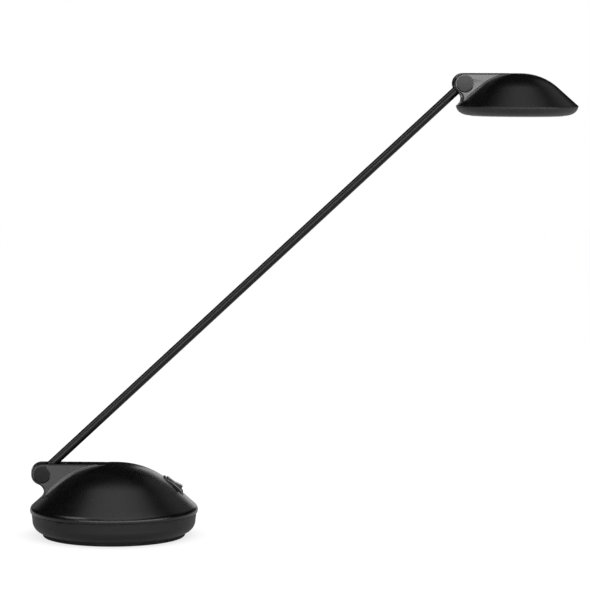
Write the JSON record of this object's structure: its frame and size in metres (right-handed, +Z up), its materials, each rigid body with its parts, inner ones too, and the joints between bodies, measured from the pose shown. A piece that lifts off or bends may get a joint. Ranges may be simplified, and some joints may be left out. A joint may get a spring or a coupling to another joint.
{
  "type": "desk lamp",
  "caption": "Desk lamp with a round weighted base, a straight tilting arm on friction hinges and a shallow domed light head.",
  "frame": {"origin": "centre of the underside of the foot pad, on the surface the lamp stands on", "axes": "+Z up, +X from the base's hinge towards the head, both hinge axes along Y"},
  "size_m": [0.4939, 0.151, 0.4163],
  "materials": {
    "cover_plastic": "black moulded plastic, semi-gloss",
    "tray_plastic": "dark grey moulded plastic, satin",
    "bowl_plastic": "dark grey moulded plastic, satin",
    "foot_rubber": "black rubber",
    "arm_paint": "black powder coat",
    "cap_plastic": "black satin plastic",
    "knuckle_paint": "black coated steel",
    "washer_plastic": "natural friction plastic",
    "zinc_steel": "zinc-plated steel",
    "ballast_iron": "raw cast iron",
    "spreader_aluminium": "plain aluminium sheet",
    "board_laminate": "green circuit board",
    "light_board": "white solder mask",
    "ferrite": "dark ferrite and tape",
    "capacitor_sleeve": "dark sleeve",
    "terminal_plastic": "green terminal plastic",
    "post_nylon": "white nylon",
    "switch_plastic": "black plastic",
    "rocker_plastic": "black plastic",
    "brass_blade": "plain brass",
    "lead_sleeve": "black insulation",
    "chip_phosphor": "yellow phosphor",
    "reflector_white": "white reflector plastic",
    "opal": "opal diffuser plastic"
  },
  "bodies": {
    "base": {"ballast_screws": "zinc_steel", "ballast_weight": "ballast_iron", "base_cover": "cover_plastic", "base_friction_washers": "washer_plastic", "base_lead": "lead_sleeve", "base_pivot_bolt": "zinc_steel", "base_pivot_caps": "cap_plastic", "base_pivot_nut": "zinc_steel", "base_spring_washer": "zinc_steel", "base_tray": "tray_plastic", "board_posts": "post_nylon", "cord_inlet_bush": "switch_plastic", "driver_board": "board_laminate", "driver_capacitors": "capacitor_sleeve", "driver_transformer": "ferrite", "foot_pad": "foot_rubber", "switch_housing": "switch_plastic", "switch_leads": "lead_sleeve", "switch_terminals": "brass_blade", "terminal_block": "terminal_plastic", "tray_screws": "zinc_steel"},
    "arm": {"arm_tube": "arm_paint", "arm_lead": "lead_sleeve", "lower_knuckle": "knuckle_paint", "upper_knuckle": "knuckle_paint", "knuckle_screws": "zinc_steel"},
    "head": {"head_bowl": "bowl_plastic", "head_cover": "cover_plastic", "head_friction_washers": "washer_plastic", "head_lead": "lead_sleeve", "head_pivot_bolt": "zinc_steel", "head_pivot_caps": "cap_plastic", "head_pivot_nut": "zinc_steel", "head_screws": "zinc_steel", "head_spring_washer": "zinc_steel", "heat_spreader": "spreader_aluminium", "led_board": "light_board", "led_chips": "chip_phosphor", "reflector": "reflector_white", "diffuser": "opal"},
    "rocker": {"switch_rocker": "rocker_plastic"}
  },
  "joints": [
    {"name": "arm_tilt", "type": "hinge", "parent": "base", "child": "arm", "pos_m": [-0.0648, 0, 0.0567], "axis": [0, 1, 0], "range_deg": [-70, 10]},
    {"name": "head_tilt", "type": "hinge", "parent": "arm", "child": "head", "pos_m": [0.31416, 0, 0.40676], "axis": [0, 1, 0], "range_deg": [-95, 12]},
    {"name": "switch_rock", "type": "hinge", "parent": "base", "child": "rocker", "pos_m": [0.05355, 0, 0.04615], "axis": [0, 1, 0], "range_deg": [0, 13]}
  ]
}
